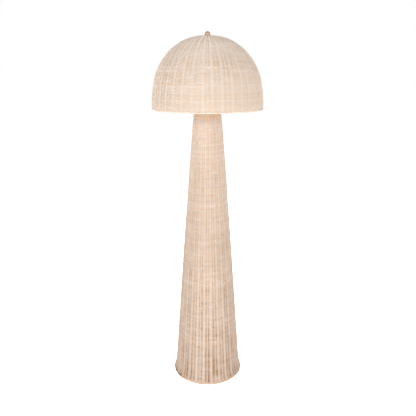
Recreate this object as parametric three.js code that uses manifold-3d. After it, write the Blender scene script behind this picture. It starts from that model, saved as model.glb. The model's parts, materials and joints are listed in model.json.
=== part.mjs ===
// A rattan floor lamp: a woven mushroom shade held by a harp and a ball finial on a tall woven cone.
// Lengths are millimetres, +Z is up, and the origin is on the floor under the lamp's axis.
// The front is -Y, and the cable bush is at the back.
import * as THREE from "three";
import { mergeVertices } from "three/addons/utils/BufferGeometryUtils.js";
import Module from "manifold-3d";

const wasm = await Module();
wasm.setup();

// Overall sizes
const columnHeight = 1212;
const shadeDiameter = 460;
const shadeHeight = 288;
const baseDiameter = 315;

// How far the shade's rim stands above the column's top, and the finial above the shade
const shadeLift = 3;
const finialRise = 17;

// Fits
const clearance = 0.3;
const overrun = 2;

// Woven walls: how deep their face lies over a double stake, over a single stake and between the two
const skinThickness = 9;
const doubleStakeDepth = 0.3;
const singleStakeDepth = 1.6;
const grooveDepth = 3.2;

// Column outline: a straight taper with a slight belly, a flared foot and a rounded shoulder
const footInset = 6.5;
const shoulderRadius = 58.9;
const belly = 1.8;
const flareHeight = 62;
const flareDepth = 12;
const shoulderHeight = 58;
const shoulderDepth = 13;
const columnStakes = 52;
const columnCourses = 4;
const shoulderCourses = 3;
const flareCourses = 3;

// Shade outline, from the rim to the opening at the top: shares of its radius and of its height
const shadeOutlineShares = [
  [1.0, 0.02],
  [1.0, 0.13],
  [0.977, 0.294],
  [0.931, 0.473],
  [0.84, 0.632],
  [0.722, 0.761],
  [0.587, 0.861],
  [0.4, 0.95],
  [0.19, 0.998],
  [0.085, 0.991],
];
const shadeStakes = 72;
const shadeCourses = 9;
const grooveFade = 92;

// Wrapped rims
const baseRimTube = 5.5;
const baseRimLift = 3;
const shadeRimTube = 3.5;
const topRimTube = 3.4;
const apexRingTube = 3;

// Base
const padHeight = 8;
const padRadius = 13;
const padEase = 1;
const padMargin = 11.2;
const padCount = 4;
const plateThickness = 3;
const weightShare = 2 / 3;
const weightThickness = 18;
const weightHubRadius = 16;
const weightBevel = 9;
const weightStep = 3;

// Column frame
const rodCount = 6;
const rodRadius = 2.5;
const hoopTube = 3;
const hoopHeightShares = [0.34, 0.66];
const capThickness = 2;
const capDrop = 16;

// Threaded tube and its fasteners
const pipeRadius = 5;
const pipeBore = 3.5;
const nutAcross = 16;
const nutSides = 6;
const nutThickness = 4.5;
const underNutThickness = 3;
const washerRadius = 15;
const washerThickness = 1.5;
const neckRadius = 11;
const neckTopRadius = 9;
const neckWaist = 7.5;
const neckHeight = 12;

// Cable bush
const bushHeight = 82;
const bushBore = 4.5;
const bushRadius = 6.7;
const bushFlange = 10;
const bushLip = 2.2;
const bushEase = 1;

// Harp
const harpWire = 1.9;
const harpLegSpread = 35;
const harpBowSpread = 57;
const saddleThickness = 2;
const saddleWidth = 13;
const prongWidth = 5;
const prongHeight = 17;
const harpFootRadius = 3.6;
const harpFootHeight = 15;
const ferruleWall = 0.9;
const ferruleHeight = 12;
const legStraight = 34;
const studRadius = 3.1;
const studLength = 11.5;
const studHeadRadius = 8;
const studHeadLip = 2;
const harpCrownFlat = 12;
const harpBowSteps = 8;

// Lamp socket
const socketRadius = 17;
const shellWall = 0.8;
const socketCapHeight = 19;
const socketCapNeck = 8.5;
const socketCapEase = 2;
const socketShellHeight = 50;
const linerWall = 0.7;
const linerDrop = 2;
const coreHeight = 26;
const coreHeel = 1;
const screwShellBore = 13.4;
const screwShellWall = 0.5;
const screwShellHeight = 24;
const contactRadius = 4;
const contactThickness = 0.8;
const contactRise = 2.2;
const knobHeight = 15;
const stemRadius = 1.9;
const stemReach = 26;
const knobGap = 2;
const knobRadius = 6.5;
const knobLength = 15;
const knobFlutes = 10;
const knobFluteRadius = 1.1;

// Bulb
const bulbCapRadius = 13;
const bulbCapHeight = 22;
const bulbCapEase = 1.5;
const bulbTipRadius = 5;
const bulbTipHeight = 2.6;
const bulbLength = 104;
const bulbRadius = 30;
const bulbGlassNeck = 14.5;
const bulbGlassEase = 1;
const bulbNeckHeight = 5;
const bulbSteps = 5;

// Shade frame
const hubRadius = 22;
const hubBore = 5.6;
const hubThickness = 2;
const ribCount = 8;
const ribRadius = 2;
const ribJoggle = 26;
const shadeHoopTube = 2.5;
const shadeHoopCourses = [1, 5];

// Finial
const ballRadius = 11.6;
const finialStem = 23.7;
const finialFlange = 8;
const finialFlangeHeight = 2.4;
const finialNeckRise = 3.8;
const finialNeck = 5.2;
const finialSteps = 9;

// Mesh resolution
const ringSteps = 48;
const hollowSteps = 48;
const hoopSteps = 24;
const tubeSides = 6;
const hoopSides = 5;
const rimSides = 8;
const turnedSteps = 24;
const smallSteps = 16;
const searchSteps = 40;

// Colours and finishes
const finish = (color, roughness, metalness = 0) =>
  new THREE.MeshStandardMaterial({ color, roughness, metalness });
const rattan = finish(0xe6d3bd, 0.7);
const wrapping = finish(0xd9b68c, 0.65);
const brass = finish(0xa98250, 0.3, 1);
const steel = finish(0xb9b7b2, 0.35, 1);
const paintedSteel = finish(0xe9dfd0, 0.55, 0.2);
const castIron = finish(0x3a3a3b, 0.8, 0.4);
const rubber = finish(0x6b6257, 0.9);
const phenolic = finish(0x2b211b, 0.4);
const insulator = finish(0xd8cdb6, 0.8);
const frostedGlass = finish(0xf7f3ea, 0.35);

// Heights of the main levels
const shadeRadius = shadeDiameter / 2;
const shadeBottom = columnHeight + shadeLift;
const shadeTop = shadeBottom + shadeHeight;
const overallHeight = shadeTop + finialRise;
const ballCentre = overallHeight - ballRadius;
const finialBase = ballCentre - finialStem;
const hubTop = finialBase - clearance;
const hubBottom = hubTop - hubThickness;
const studSeat = hubBottom - clearance;
const footRadius = baseDiameter / 2 - footInset;
const baseRimCentre = baseDiameter / 2 - baseRimTube;
const plateRadius = baseRimCentre - baseRimTube - clearance;
const padCircle = plateRadius - padMargin - padRadius;
const weightRadius = (weightShare * baseDiameter) / 2;
const skinBottom = baseRimLift + 2 * baseRimTube + clearance;
const plateBottom = padHeight + clearance;
const plateTop = plateBottom + plateThickness;
const weightBottom = plateTop + clearance;
const weightTop = weightBottom + weightThickness;
const capTop = columnHeight - capDrop + capThickness;
const capBottom = capTop - capThickness;
const topHoopHeight = capBottom - clearance - hoopTube;
const topWasherBottom = capTop + clearance;
const topNutBottom = topWasherBottom + washerThickness + clearance;
const neckBottom = topNutBottom + nutThickness + clearance;
const saddleBottom = neckBottom + neckHeight + clearance;
const saddleTop = saddleBottom + saddleThickness;
const socketBottom = saddleTop + clearance;
const shellBottom = socketBottom + socketCapHeight + clearance;
const pipeTop = socketBottom + socketCapHeight - shellWall - overrun;

// A point of a section in the plane through the lamp's axis: x is the radius and y the height
const at = (radius, height) => new THREE.Vector2(radius, height);

function named(name, geometry, material) {
  const mesh = new THREE.Mesh(geometry, material);
  mesh.name = name;
  return mesh;
}

// Turns a section about +Z. The section runs up its outer side, and closes on itself or on the axis.
function turned(section, steps = turnedSteps) {
  return new THREE.LatheGeometry(section, steps).rotateX(Math.PI / 2);
}

const closed = (points) => [...points, points[0].clone()];

// A plain ring of rectangular section
function washer(inner, outer, bottom, thickness, steps = turnedSteps) {
  const top = bottom + thickness;
  const section = [at(inner, bottom), at(outer, bottom), at(outer, top), at(inner, top)];
  return turned(closed(section), steps);
}

function disc(radius, bottom, thickness, steps = turnedSteps) {
  const top = bottom + thickness;
  return turned([at(0, bottom), at(radius, bottom), at(radius, top), at(0, top)], steps);
}

function hoop(centreRadius, height, tube, steps = hoopSteps, sides = tubeSides) {
  return new THREE.TorusGeometry(centreRadius, tube, sides, steps).translate(0, 0, height);
}

// A run of straight stretches whose corners are the given points
class Bend extends THREE.Curve {
  constructor(corners) {
    super();
    this.corners = corners;
  }

  getPoint(t, target = new THREE.Vector3()) {
    const place = t * (this.corners.length - 1);
    const start = Math.min(Math.floor(place), this.corners.length - 2);
    return target.lerpVectors(this.corners[start], this.corners[start + 1], place - start);
  }

  getUtoTmapping(u) {
    return u;
  }
}

function roundSection(radius, sides) {
  const corners = [];
  for (let i = 0; i < sides; i++) {
    const turn = (2 * Math.PI * i) / sides;
    corners.push(at(radius * Math.cos(turn), radius * Math.sin(turn)));
  }
  return new THREE.Shape(corners);
}

function wireAlong(curve, radius, steps, sides = tubeSides) {
  return new THREE.ExtrudeGeometry(roundSection(radius, sides), { steps, extrudePath: curve });
}

// Stands a section drawn in radius and height upright at an azimuth about the axis
function upright(points, azimuth) {
  return points.map(
    (p) => new THREE.Vector3(p.x * Math.cos(azimuth), p.x * Math.sin(azimuth), p.y),
  );
}

function hexNut(across, bore, bottom, thickness) {
  const corner = across / 2 / Math.cos(Math.PI / nutSides);
  const shape = roundSection(corner, nutSides);
  shape.holes.push(new THREE.Path(roundSection(bore, smallSteps).getPoints()));
  const options = { depth: thickness, bevelEnabled: false };
  return new THREE.ExtrudeGeometry(shape, options).translate(0, 0, bottom);
}

function solidOf(geometry) {
  const bare = geometry.index ? geometry.toNonIndexed() : geometry.clone();
  bare.deleteAttribute("normal");
  bare.deleteAttribute("uv");
  const merged = mergeVertices(bare, 1e-4);
  const mesh = new wasm.Mesh({
    numProp: 3,
    vertProperties: merged.attributes.position.array,
    triVerts: new Uint32Array(merged.index.array),
  });
  return new wasm.Manifold(mesh);
}

function geometryOf(solid) {
  const mesh = solid.getMesh();
  const geometry = new THREE.BufferGeometry();
  geometry.setAttribute("position", new THREE.BufferAttribute(mesh.vertProperties, 3));
  geometry.setIndex(new THREE.BufferAttribute(mesh.triVerts, 1));
  geometry.computeVertexNormals();
  return geometry;
}

const cut = (body, ...tools) =>
  geometryOf(tools.reduce((left, tool) => left.subtract(solidOf(tool)), solidOf(body)));

const joined = (...bodies) =>
  geometryOf(bodies.slice(1).reduce((sum, body) => sum.add(solidOf(body)), solidOf(bodies[0])));

// Outer radius of the woven column at a height
function columnRadius(height) {
  const share = height / columnHeight;
  const taper = footRadius + (shoulderRadius - footRadius) * share;
  const bulge = belly * Math.sin(Math.PI * share);
  const flare = flareDepth * Math.max(0, 1 - height / flareHeight) ** 2;
  const rise = Math.max(0, (height - columnHeight + shoulderHeight) / shoulderHeight);
  const rounding = shoulderDepth * (1 - Math.sqrt(1 - Math.min(1, rise) ** 2));
  return taper + bulge + flare - rounding;
}

// Heights at which the column's outline is drawn, closer together in the foot and the shoulder
function columnLevels() {
  const levels = [];
  const shoulderStart = columnHeight - shoulderHeight;
  for (let i = 0; i < flareCourses; i++)
    levels.push(skinBottom + ((flareHeight - skinBottom) * i) / flareCourses);
  for (let i = 0; i < columnCourses; i++)
    levels.push(flareHeight + ((shoulderStart - flareHeight) * i) / columnCourses);
  for (let i = 0; i <= shoulderCourses; i++) {
    const turn = (Math.PI / 2) * (i / shoulderCourses);
    levels.push(shoulderStart + shoulderHeight * Math.sin(turn));
  }
  return levels;
}

const columnLine = columnLevels().map((h) => at(columnRadius(h), h));

// Radius of the column's straight-sided courses at a height
function wallRadius(height) {
  const above = columnLine.findIndex((p) => p.y > height);
  const end = above < 0 ? columnLine.length - 1 : Math.max(above, 1);
  const [low, high] = [columnLine[end - 1], columnLine[end]];
  return low.x + ((high.x - low.x) * (height - low.y)) / (high.y - low.y);
}

// Outer outline of the shade as a smooth curve
const shadeOutline = new THREE.SplineCurve(
  shadeOutlineShares.map(([r, h]) => at(shadeRadius * r, shadeBottom + shadeHeight * h)),
);

// A point of the shade's outline moved inwards along its normal
function shadeInset(t, depth) {
  const point = shadeOutline.getPoint(t);
  const along = shadeOutline.getTangent(t);
  return at(point.x - depth * along.y, point.y + depth * along.x);
}

// Where along the outline the shade reaches a height
function shadeParameter(height) {
  let low = 0;
  let high = 1 - 1 / (shadeOutlineShares.length - 1);
  for (let i = 0; i < searchSteps; i++) {
    const middle = (low + high) / 2;
    if (shadeOutline.getPoint(middle).y < height) low = middle;
    else high = middle;
  }
  return low;
}

// Depths of a wall's face at the four columns of corners from one single stake to the next
const fluteDepths = [singleStakeDepth, grooveDepth, doubleStakeDepth, grooveDepth];

// Turns a solid whose face is pressed in between its stakes. The first stake is at the front.
// cornerAt gives the face's corner on a course, at a depth.
function fluted(courses, stakes, cornerAt) {
  const face = [];
  for (let i = 0; i <= courses; i++) face.push(cornerAt(i, 0));
  const section = [at(0, face[0].y), ...face, at(0, face[courses].y)];
  const solid = turned(section, 2 * stakes);
  const place = solid.attributes.position;
  for (let k = 0; k < place.count; k++) {
    const course = (k % section.length) - 1;
    if (course < 0 || course > courses) continue;
    const column = Math.floor(k / section.length);
    const corner = cornerAt(course, fluteDepths[column % fluteDepths.length]);
    const turn = Math.atan2(place.getY(k), place.getX(k));
    place.setXYZ(k, corner.x * Math.cos(turn), corner.x * Math.sin(turn), corner.y);
  }
  return solid;
}

function footPads() {
  const section = [
    at(0, 0),
    at(padRadius - padEase, 0),
    at(padRadius, padEase),
    at(padRadius - padEase, padHeight),
    at(0, padHeight),
  ];
  const pads = [];
  for (let i = 0; i < padCount; i++) {
    const turn = (2 * Math.PI * (i + 0.5)) / padCount;
    const pad = named(`foot_pad_${i + 1}`, turned(section, smallSteps), rubber);
    pad.position.set(padCircle * Math.cos(turn), padCircle * Math.sin(turn), 0);
    pads.push(pad);
  }
  return pads;
}

function base() {
  const bore = pipeRadius + clearance;
  const weight = closed([
    at(bore, weightBottom),
    at(weightRadius, weightBottom),
    at(weightRadius, weightTop - 2 * weightStep),
    at(weightRadius - weightBevel, weightTop - weightStep),
    at(weightHubRadius * 2, weightTop - weightStep),
    at(weightHubRadius, weightTop),
    at(bore, weightTop),
  ]);
  const plate = washer(bore, plateRadius, plateBottom, plateThickness, ringSteps);
  const rimHeight = baseRimLift + baseRimTube;
  return [
    ...footPads(),
    named("base_plate", plate, paintedSteel),
    named("base_weight", turned(weight, hoopSteps), castIron),
    named("base_rim", hoop(baseRimCentre, rimHeight, baseRimTube, ringSteps, rimSides), wrapping),
  ];
}

function bushTool(radius, inner, outer) {
  return turned([at(0, inner), at(radius, inner), at(radius, outer), at(0, outer)], smallSteps);
}

// The bush sits square to the sloping wall at the back, over a single stake. Its own +Z points out.
function bushPlace() {
  const drop = wallRadius(bushHeight + bushRadius) - wallRadius(bushHeight - bushRadius);
  const slope = drop / (2 * bushRadius);
  const place = new THREE.Matrix4().makeRotationX(-Math.PI / 2 - Math.atan(slope));
  place.setPosition(0, wallRadius(bushHeight) - singleStakeDepth, bushHeight);
  return place;
}

function columnSkin() {
  const courses = columnLine.length - 1;
  const cornerAt = (course, depth) => at(columnLine[course].x - depth, columnLine[course].y);
  const wall = fluted(courses, columnStakes, cornerAt);
  const inner = columnLine.map((p) => at(p.x - skinThickness, p.y));
  inner.unshift(at(inner[0].x, inner[0].y - overrun));
  inner.push(at(inner[courses + 1].x, columnHeight + overrun));
  const hollow = turned([at(0, inner[0].y), ...inner, at(0, columnHeight + overrun)], hollowSteps);
  const hole = bushTool(bushRadius + clearance, -skinThickness - overrun, overrun);
  return cut(wall, hollow, hole.applyMatrix4(bushPlace()));
}

function cableBush() {
  const sagitta = bushFlange ** 2 / wallRadius(bushHeight);
  const outside = clearance;
  const inside = singleStakeDepth - skinThickness - clearance - sagitta;
  const section = closed([
    at(bushBore, inside - bushLip),
    at(bushFlange - bushEase, inside - bushLip),
    at(bushFlange - bushEase, inside),
    at(bushRadius, inside),
    at(bushRadius, outside),
    at(bushFlange, outside),
    at(bushFlange, outside + bushLip / 2),
    at(bushFlange - bushEase, outside + bushLip),
    at(bushBore, outside + bushLip),
  ]);
  return turned(section, smallSteps).applyMatrix4(bushPlace());
}

const rodCentre = (height) => wallRadius(height) - skinThickness - clearance - rodRadius;
const hoopCentre = (height) => rodCentre(height) - rodRadius - clearance - hoopTube;

function columnFrame() {
  const parts = [];
  const rodHeights = columnLevels().filter((h) => h < topHoopHeight);
  rodHeights.push(topHoopHeight);
  const rodLine = rodHeights.map((h) => at(rodCentre(h), h));
  for (let i = 0; i < rodCount; i++) {
    const path = new Bend(upright(rodLine, (2 * Math.PI * i) / rodCount));
    const rod = wireAlong(path, rodRadius, rodLine.length - 1);
    parts.push(named(`frame_rod_${i + 1}`, rod, paintedSteel));
  }
  const footHoop = plateTop + clearance + hoopTube;
  const heights = [footHoop, ...hoopHeightShares.map((s) => s * columnHeight), topHoopHeight];
  heights.forEach((h, i) => {
    const reach = i === 0 ? hoopCentre(skinBottom) : hoopCentre(h);
    parts.push(named(`frame_hoop_${i + 1}`, hoop(reach, h, hoopTube, hoopSteps, hoopSides), paintedSteel));
  });
  return parts;
}

function column() {
  const mouth = wallRadius(columnHeight) - skinThickness / 2;
  const rimHeight = columnHeight + clearance + topRimTube;
  const capRadius = wallRadius(capTop) - skinThickness - 2 * clearance;
  const cap = washer(pipeRadius + clearance, capRadius, capBottom, capThickness, hoopSteps);
  return [
    named("column_skin", columnSkin(), rattan),
    named("cable_bush", cableBush(), rubber),
    named("column_top_rim", hoop(mouth, rimHeight, topRimTube), wrapping),
    named("column_cap", cap, paintedSteel),
    ...columnFrame(),
  ];
}

function turnedNeck() {
  const bore = pipeRadius + clearance;
  return closed([
    at(bore, neckBottom),
    at(neckRadius, neckBottom),
    at(neckRadius, neckBottom + neckHeight / 6),
    at(neckWaist, neckBottom + neckHeight / 3),
    at(neckWaist, neckBottom + (2 * neckHeight) / 3),
    at(neckTopRadius, neckBottom + neckHeight),
    at(bore, neckBottom + neckHeight),
  ]);
}

function pipeAndNuts() {
  const bore = pipeRadius + clearance;
  const pipeBottom = plateBottom - clearance - underNutThickness;
  const pipe = washer(pipeBore, pipeRadius, pipeBottom, pipeTop - pipeBottom, smallSteps);
  const spread = (bottom) => washer(bore, washerRadius, bottom, washerThickness, smallSteps);
  const upperNut = weightTop + 2 * clearance + washerThickness;
  return [
    named("threaded_tube", pipe, steel),
    named("base_nut_lower", hexNut(nutAcross, bore, pipeBottom, underNutThickness), steel),
    named("base_washer", spread(weightTop + clearance), steel),
    named("base_nut_upper", hexNut(nutAcross, bore, upperNut, nutThickness), steel),
    named("column_washer", spread(topWasherBottom), steel),
    named("column_nut", hexNut(nutAcross, bore, topNutBottom, nutThickness), steel),
    named("turned_neck", turned(turnedNeck(), smallSteps), brass),
  ];
}

// Harp: a bent wire in the XZ plane whose feet sit over the saddle's prongs
const harpFootBottom = saddleTop + clearance;
const harpFootTop = harpFootBottom + harpFootHeight;
const crownHeight = studSeat - studHeadLip - clearance - harpWire;

function harpSaddle() {
  const halfLength = harpLegSpread + saddleThickness / 2;
  const strip = new THREE.BoxGeometry(2 * halfLength, saddleWidth, saddleThickness);
  strip.translate(0, 0, saddleBottom + saddleThickness / 2);
  const prongs = [-1, 1].map((side) => {
    const height = prongHeight + saddleThickness / 2;
    const prong = new THREE.BoxGeometry(saddleThickness, prongWidth, height);
    return prong.translate(side * harpLegSpread, 0, saddleTop + prongHeight - height / 2);
  });
  const depth = saddleThickness + 2 * overrun;
  const hole = disc(pipeRadius + clearance, saddleBottom - overrun, depth, smallSteps);
  return cut(joined(strip, ...prongs), hole);
}

// Right half of the harp's wire: a straight leg, a bow that swells and closes, and the end of its flat crown
function harpLine() {
  const legTop = harpFootTop + legStraight;
  const half = (crownHeight - legTop) / 2;
  const waist = legTop + half;
  const swell = new THREE.CubicBezierCurve(
    at(harpLegSpread, legTop),
    at(harpLegSpread, legTop + half / 2),
    at(harpBowSpread, waist - half / 2),
    at(harpBowSpread, waist),
  );
  const closing = new THREE.CubicBezierCurve(
    at(harpBowSpread, waist),
    at(harpBowSpread, waist + (2 * half) / 3),
    at((harpBowSpread + harpCrownFlat) / 2, crownHeight),
    at(harpCrownFlat, crownHeight),
  );
  const foot = at(harpLegSpread, harpFootTop - overrun);
  return [foot, ...swell.getPoints(harpBowSteps), ...closing.getPoints(harpBowSteps).slice(1)];
}

function harpBow() {
  const right = upright(harpLine(), 0);
  const left = upright(harpLine(), Math.PI).reverse();
  const corners = [...right, ...left];
  const wire = wireAlong(new Bend(corners), harpWire, corners.length - 1);
  const feet = [-1, 1].map((side) => {
    const foot = disc(harpFootRadius, harpFootBottom, harpFootHeight, smallSteps);
    return foot.translate(side * harpLegSpread, 0, 0);
  });
  const slots = [-1, 1].map((side) => {
    const width = saddleThickness + 2 * clearance;
    const height = prongHeight + clearance;
    const slot = new THREE.BoxGeometry(width, prongWidth + 2 * clearance, height + overrun);
    return slot.translate(side * harpLegSpread, 0, saddleTop + (height - overrun) / 2);
  });
  return cut(joined(wire, ...feet), ...slots);
}

function harpStud() {
  const bodyBottom = crownHeight - harpWire - clearance - 2 * studHeadLip;
  const section = [
    at(0, bodyBottom),
    at(studHeadRadius - studHeadLip, bodyBottom),
    at(studHeadRadius, studSeat - studHeadLip),
    at(studHeadRadius, studSeat),
    at(studRadius, studSeat),
    at(studRadius, studSeat + studLength),
    at(0, studSeat + studLength),
  ];
  const tunnel = new THREE.CylinderGeometry(
    harpWire + clearance,
    harpWire + clearance,
    2 * studHeadRadius + 2 * overrun,
    smallSteps,
  );
  tunnel.rotateZ(Math.PI / 2).translate(0, 0, crownHeight);
  return cut(turned(section, smallSteps), tunnel);
}

function harp() {
  const inner = harpFootRadius + clearance;
  const parts = [
    named("harp_saddle", harpSaddle(), brass),
    named("harp_bow", harpBow(), brass),
    named("harp_stud", harpStud(), brass),
  ];
  [-1, 1].forEach((side) => {
    const sleeve = washer(inner, inner + ferruleWall, harpFootBottom, ferruleHeight, smallSteps);
    const mesh = named(side < 0 ? "harp_ferrule_left" : "harp_ferrule_right", sleeve, brass);
    mesh.position.set(side * harpLegSpread, 0, 0);
    parts.push(mesh);
  });
  return parts;
}

// Socket levels
const coreBottom = shellBottom + coreHeel;
const coreTop = coreBottom + coreHeight;
const knobLevel = coreBottom + knobHeight;
const screwBottom = coreTop + clearance;
const coreRadius = socketRadius - shellWall - linerWall - 2 * clearance;

function socketCap() {
  const section = closed([
    at(pipeRadius + clearance, socketBottom),
    at(socketCapNeck, socketBottom),
    at(socketCapNeck + socketCapEase / 2, socketBottom + socketCapHeight / 4),
    at(socketRadius - socketCapEase, socketBottom + socketCapHeight / 2),
    at(socketRadius, socketBottom + (4 * socketCapHeight) / 5),
    at(socketRadius, socketBottom + socketCapHeight),
    at(socketRadius - shellWall, socketBottom + socketCapHeight),
    at(socketRadius - shellWall - socketCapEase / 2, socketBottom + (4 * socketCapHeight) / 5),
    at(socketRadius - shellWall - 1.5 * socketCapEase, socketBottom + socketCapHeight / 2 + shellWall),
    at(pipeRadius + clearance, socketBottom + socketCapHeight / 3),
  ]);
  return turned(section);
}

// A round hole through a wall, running along -Y at the switch
function stemHole(radius) {
  const hole = new THREE.CylinderGeometry(radius, radius, stemReach, smallSteps);
  return hole.translate(0, -stemReach / 2, 0).translate(0, 0, knobLevel);
}

function screwShell() {
  const inner = screwShellBore;
  const outer = screwShellBore + screwShellWall;
  return washer(inner, outer, screwBottom, screwShellHeight, turnedSteps);
}

// A fluted knob that runs out along -Y from the socket, hollow where the stem enters it
function switchKnob() {
  const start = socketRadius + knobGap;
  const outline = roundSection(knobRadius, 2 * smallSteps);
  const knob = new THREE.ExtrudeGeometry(outline, { depth: knobLength, bevelEnabled: false });
  knob.rotateX(Math.PI / 2).translate(0, -start, knobLevel);
  const grooves = [];
  for (let i = 0; i < knobFlutes; i++) {
    const turn = (2 * Math.PI * i) / knobFlutes;
    const [x, z] = [knobRadius * Math.cos(turn), knobRadius * Math.sin(turn)];
    const length = knobLength + 2 * overrun;
    const groove = new THREE.CylinderGeometry(knobFluteRadius, knobFluteRadius, length, tubeSides);
    grooves.push(groove.translate(x, -(start + knobLength / 2), knobLevel + z));
  }
  const radius = stemRadius + clearance;
  const depth = stemReach + clearance;
  const bore = new THREE.CylinderGeometry(radius, radius, depth, smallSteps);
  return cut(knob, ...grooves, bore.translate(0, -depth / 2, knobLevel));
}

function switchStem() {
  const start = coreRadius / 2;
  const stem = new THREE.CylinderGeometry(stemRadius, stemRadius, stemReach - start, smallSteps);
  return stem.translate(0, -(stemReach + start) / 2, knobLevel);
}

function centreContact() {
  const section = [
    at(0, screwBottom),
    at(contactRadius, screwBottom),
    at(contactRadius, screwBottom + contactThickness),
    at(contactRadius / 2, screwBottom + contactRise),
    at(0, screwBottom + contactRise),
  ];
  return turned(section, smallSteps);
}

function socket() {
  const linerOuter = socketRadius - shellWall - clearance;
  const linerHeight = socketShellHeight - linerDrop;
  const shell = washer(socketRadius - shellWall, socketRadius, shellBottom, socketShellHeight);
  const liner = washer(linerOuter - linerWall, linerOuter, shellBottom, linerHeight);
  const core = disc(coreRadius, coreBottom, coreHeight);
  const hole = stemHole(stemRadius + clearance);
  return [
    named("socket_cap", socketCap(), brass),
    named("socket_shell", cut(shell, hole), brass),
    named("socket_liner", cut(liner, hole), insulator),
    named("socket_core", cut(core, hole), phenolic),
    named("screw_shell", screwShell(), brass),
    named("centre_contact", centreContact(), brass),
    named("switch_stem", switchStem(), brass),
    named("switch_knob", switchKnob(), phenolic),
  ];
}

// Bulb levels
const bulbTip = screwBottom + contactRise + clearance;
const bulbCapBottom = bulbTip + bulbTipHeight;
const bulbCapTop = bulbCapBottom + bulbCapHeight;
const glassBottom = bulbCapTop + clearance;
const globeCentre = bulbTip + bulbLength - bulbRadius;

function bulbCap() {
  return turned([
    at(0, bulbTip),
    at(bulbTipRadius, bulbTip),
    at(bulbTipRadius, bulbCapBottom),
    at(bulbCapRadius - bulbCapEase, bulbCapBottom + bulbCapEase),
    at(bulbCapRadius, bulbCapBottom + 2 * bulbCapEase),
    at(bulbCapRadius, bulbCapTop),
    at(0, bulbCapTop),
  ]);
}

// A narrow neck that swells into a round globe
function bulbGlass() {
  const neckTop = glassBottom + bulbNeckHeight;
  const half = (globeCentre - neckTop) / 2;
  const swell = new THREE.CubicBezierCurve(
    at(bulbGlassNeck, neckTop),
    at(bulbGlassNeck, neckTop + half),
    at(bulbRadius, globeCentre - half),
    at(bulbRadius, globeCentre),
  );
  const section = [at(0, glassBottom), at(bulbGlassNeck - bulbGlassEase, glassBottom)];
  section.push(...swell.getPoints(bulbSteps));
  for (let i = 1; i < bulbSteps; i++) {
    const turn = (Math.PI / 2) * (i / bulbSteps);
    section.push(at(bulbRadius * Math.cos(turn), globeCentre + bulbRadius * Math.sin(turn)));
  }
  section.push(at(0, globeCentre + bulbRadius));
  return turned(section);
}

function bulb() {
  return [named("bulb_cap", bulbCap(), steel), named("bulb_glass", bulbGlass(), frostedGlass)];
}

// Shade
const ribDepth = skinThickness + clearance + ribRadius;

const shadeMouth = shadeInset(1, skinThickness);
const skinFoot = shadeBottom + 2 * shadeRimTube + clearance;

// Parameters along the outline at which the shade's corners lie
function shadeStops() {
  const start = shadeParameter(skinFoot);
  const stops = [];
  for (let i = 0; i <= shadeCourses; i++) stops.push(start + ((1 - start) * i) / shadeCourses);
  return stops;
}

// A corner of the shade's face. The grooves grow shallow towards the crown, where the stakes meet.
function shadeCorner(t, depth) {
  const fade = Math.min(1, shadeInset(t, 0).x / grooveFade);
  return shadeInset(t, depth * fade);
}

function shadeSkin() {
  const stops = shadeStops();
  const wall = fluted(shadeCourses, shadeStakes, (course, depth) => {
    const corner = shadeCorner(stops[course], depth);
    return at(corner.x, course === 0 ? skinFoot : corner.y);
  });
  const inner = stops.map((t) => shadeInset(t, skinThickness));
  inner[0].y = skinFoot;
  const below = skinFoot - overrun;
  const hollow = [at(0, below), at(inner[0].x, below), ...inner, at(0, inner[shadeCourses].y)];
  const height = skinThickness + 2 * overrun;
  const opening = disc(shadeMouth.x, shadeMouth.y - overrun, height, hollowSteps);
  return cut(wall, turned(hollow, hollowSteps), opening);
}

function shadeRibs() {
  const hubMiddle = (hubTop + hubBottom) / 2;
  const line = [at(hubRadius + clearance, hubMiddle), at(hubRadius + ribJoggle / 3, hubMiddle)];
  const stops = shadeStops().slice(0, -1).reverse();
  line.push(...stops.map((t) => shadeInset(t, ribDepth)).filter((p) => p.x > hubRadius + ribJoggle));
  line[line.length - 1].y = skinFoot;
  const parts = [];
  for (let i = 0; i < ribCount; i++) {
    const path = new Bend(upright(line, (2 * Math.PI * i) / ribCount));
    const rib = wireAlong(path, ribRadius, line.length - 1);
    parts.push(named(`shade_rib_${i + 1}`, rib, paintedSteel));
  }
  return parts;
}

function shade() {
  const hoopDepth = ribDepth + ribRadius + clearance + shadeHoopTube;
  const hoops = shadeHoopCourses.map((course, i) => {
    const centre = shadeInset(shadeStops()[course], hoopDepth);
    const wire = hoop(centre.x, centre.y, shadeHoopTube, hoopSteps, hoopSides);
    return named(`shade_hoop_${i + 1}`, wire, paintedSteel);
  });
  const rimRadius = shadeRadius - shadeRimTube;
  const rimHeight = shadeBottom + shadeRimTube;
  const apexRadius = shadeMouth.x - clearance - apexRingTube;
  const apexHeight = shadeMouth.y + apexRingTube;
  return [
    named("shade_skin", shadeSkin(), rattan),
    named("shade_rim", hoop(rimRadius, rimHeight, shadeRimTube, ringSteps), wrapping),
    named("shade_apex_ring", hoop(apexRadius, apexHeight, apexRingTube, smallSteps), wrapping),
    named("shade_hub", washer(hubBore, hubRadius, hubBottom, hubThickness), brass),
    ...hoops,
    ...shadeRibs(),
  ];
}

function finial() {
  const bore = studRadius + clearance;
  const boreTop = studSeat + studLength + 2 * clearance;
  const neckMeets = Math.asin(finialNeck / ballRadius);
  const section = [
    at(0, boreTop),
    at(bore, boreTop),
    at(bore, finialBase),
    at(finialFlange, finialBase),
    at(finialFlange, finialBase + finialFlangeHeight),
    at(finialNeck, finialBase + finialNeckRise),
  ];
  for (let i = 0; i < finialSteps; i++) {
    const turn = neckMeets + ((Math.PI - neckMeets) * i) / finialSteps;
    section.push(at(ballRadius * Math.sin(turn), ballCentre - ballRadius * Math.cos(turn)));
  }
  section.push(at(0, ballCentre + ballRadius));
  return named("finial", turned(section), brass);
}

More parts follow.
